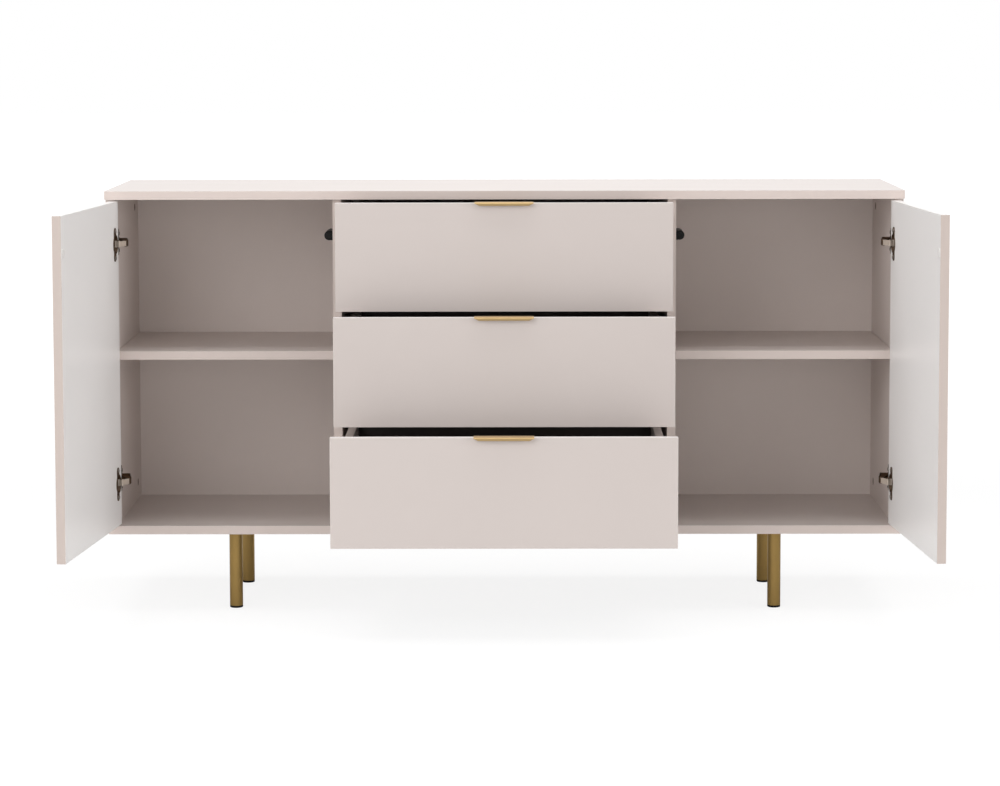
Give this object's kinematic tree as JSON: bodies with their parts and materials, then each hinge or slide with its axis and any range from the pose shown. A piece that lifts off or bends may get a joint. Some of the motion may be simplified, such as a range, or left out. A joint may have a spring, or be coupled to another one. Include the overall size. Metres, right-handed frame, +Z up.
{
  "type": "buffet cabinet",
  "caption": "Low storage cabinet on round metal legs, with hinged doors over shelves at both sides and a column of sliding drawers between them.",
  "frame": {"origin": "on the floor, in the middle of the rectangle that the cabinet covers with its doors and drawers open as stored", "axes": "+X to the right as seen from the front, +Y to the back, +Z up"},
  "size_m": [1.5589, 0.8254, 0.8],
  "materials": {
    "outer_paint": "satin lacquer, warm grey",
    "front_paint": "satin lacquer, warm grey",
    "carcass_paint": "matt melamine, warm grey",
    "back_board": "matt melamine, warm grey",
    "drawer_board": "matt melamine, warm grey",
    "drawer_dark": "matt melamine, dark brown",
    "dowel_wood": "raw beech",
    "gold_metal": "satin brushed gold",
    "hinge_steel": "nickel plated",
    "slide_steel": "zinc plated",
    "cam_zinc": "dull zinc casting",
    "plate_black": "black powder coat",
    "black_plastic": "moulded black"
  },
  "bodies": {
    "carcass": {"top_panel": "outer_paint", "bottom_panel": "outer_paint", "side_panel_left": "carcass_paint", "side_panel_right": "carcass_paint", "divider_left": "carcass_paint", "divider_right": "carcass_paint", "back_panel": "back_board", "shelf_left": "carcass_paint", "shelf_right": "carcass_paint", "shelf_pins": "hinge_steel", "cam_locks": "cam_zinc", "cam_bolts": "hinge_steel", "dowels": "dowel_wood", "leg_front_left": "gold_metal", "leg_front_right": "gold_metal", "leg_rear_left": "gold_metal", "leg_rear_right": "gold_metal", "foot_pads": "black_plastic", "leg_plates": "plate_black", "leg_screws": "hinge_steel", "hinge_arms_left": "hinge_steel", "hinge_arms_right": "hinge_steel", "hinge_plates": "hinge_steel", "bracket_screws": "hinge_steel", "push_latch_left": "black_plastic", "push_latch_right": "black_plastic", "slide_rails": "slide_steel"},
    "left_door": {"door_left": "front_paint", "hinge_cups_left": "hinge_steel", "cup_screws_left": "hinge_steel", "strike_plate_left": "hinge_steel"},
    "right_door": {"door_right": "front_paint", "hinge_cups_right": "hinge_steel", "cup_screws_right": "hinge_steel", "strike_plate_right": "hinge_steel"},
    "left_links": {"hinge_links_left": "hinge_steel"},
    "right_links": {"hinge_links_right": "hinge_steel"},
    "left_plunger": {"latch_plunger_left": "black_plastic"},
    "right_plunger": {"latch_plunger_right": "black_plastic"},
    "top_drawer": {"drawer_front_top": "front_paint", "drawer_sides_top": "drawer_board", "drawer_back_top": "drawer_dark", "drawer_base_top": "drawer_dark", "drawer_rails_top": "slide_steel", "edge_pull_top": "gold_metal"},
    "middle_drawer": {"drawer_front_middle": "front_paint", "drawer_sides_middle": "drawer_board", "drawer_back_middle": "drawer_dark", "drawer_base_middle": "drawer_dark", "drawer_rails_middle": "slide_steel", "edge_pull_middle": "gold_metal"},
    "bottom_drawer": {"drawer_front_bottom": "front_paint", "drawer_sides_bottom": "drawer_board", "drawer_back_bottom": "drawer_dark", "drawer_base_bottom": "drawer_dark", "drawer_rails_bottom": "slide_steel", "edge_pull_bottom": "gold_metal"},
    "top_slide_members": {"slide_members_top": "slide_steel"},
    "middle_slide_members": {"slide_members_middle": "slide_steel"},
    "bottom_slide_members": {"slide_members_bottom": "slide_steel"}
  },
  "joints": [
    {"name": "left_door_hinge", "type": "hinge", "parent": "carcass", "child": "left_door", "pos_m": [-0.742, 0.01274, 0.475], "axis": [0, 0, -1], "range_deg": [-95.7, 14.3]},
    {"name": "right_door_hinge", "type": "hinge", "parent": "carcass", "child": "right_door", "pos_m": [0.742, 0.01274, 0.475], "axis": [0, 0, 1], "range_deg": [-94.4, 15.6]},
    {"name": "left_link_pivot", "type": "hinge", "parent": "carcass", "child": "left_links", "pos_m": [-0.713, 0.03374, 0.475], "axis": [0, 0, 1], "range_deg": [-43.12, 6.49]},
    {"name": "right_link_pivot", "type": "hinge", "parent": "carcass", "child": "right_links", "pos_m": [0.713, 0.03374, 0.475], "axis": [0, 0, -1], "range_deg": [-42.53, 7.07]},
    {"name": "left_plunger_slide", "type": "slide", "parent": "carcass", "child": "left_plunger", "axis": [0, -1, 0], "range_m": [-0.004, 0.01], "stiffness_N_per_m": 300},
    {"name": "right_plunger_slide", "type": "slide", "parent": "carcass", "child": "right_plunger", "axis": [0, -1, 0], "range_m": [-0.004, 0.01], "stiffness_N_per_m": 300},
    {"name": "top_drawer_slide", "type": "slide", "parent": "carcass", "child": "top_drawer", "axis": [0, -1, 0], "range_m": [-0.065, 0.285]},
    {"name": "middle_drawer_slide", "type": "slide", "parent": "carcass", "child": "middle_drawer", "axis": [0, -1, 0], "range_m": [-0.15, 0.2]},
    {"name": "bottom_drawer_slide", "type": "slide", "parent": "carcass", "child": "bottom_drawer", "axis": [0, -1, 0], "range_m": [-0.27, 0.08]},
    {"name": "top_member_slide", "type": "slide", "parent": "carcass", "child": "top_slide_members", "axis": [0, -1, 0], "range_m": [-0.0326, 0.1426]},
    {"name": "middle_member_slide", "type": "slide", "parent": "carcass", "child": "middle_slide_members", "axis": [0, -1, 0], "range_m": [-0.0751, 0.1001]},
    {"name": "bottom_member_slide", "type": "slide", "parent": "carcass", "child": "bottom_slide_members", "axis": [0, -1, 0], "range_m": [-0.1351, 0.0401]}
  ],
  "couplings": [
    {"joint": "left_link_pivot", "follows": "left_door_hinge", "ratio": 0.45},
    {"joint": "right_link_pivot", "follows": "right_door_hinge", "ratio": 0.45},
    {"joint": "top_member_slide", "follows": "top_drawer_slide", "ratio": 0.5},
    {"joint": "middle_member_slide", "follows": "middle_drawer_slide", "ratio": 0.5},
    {"joint": "bottom_member_slide", "follows": "bottom_drawer_slide", "ratio": 0.5}
  ]
}
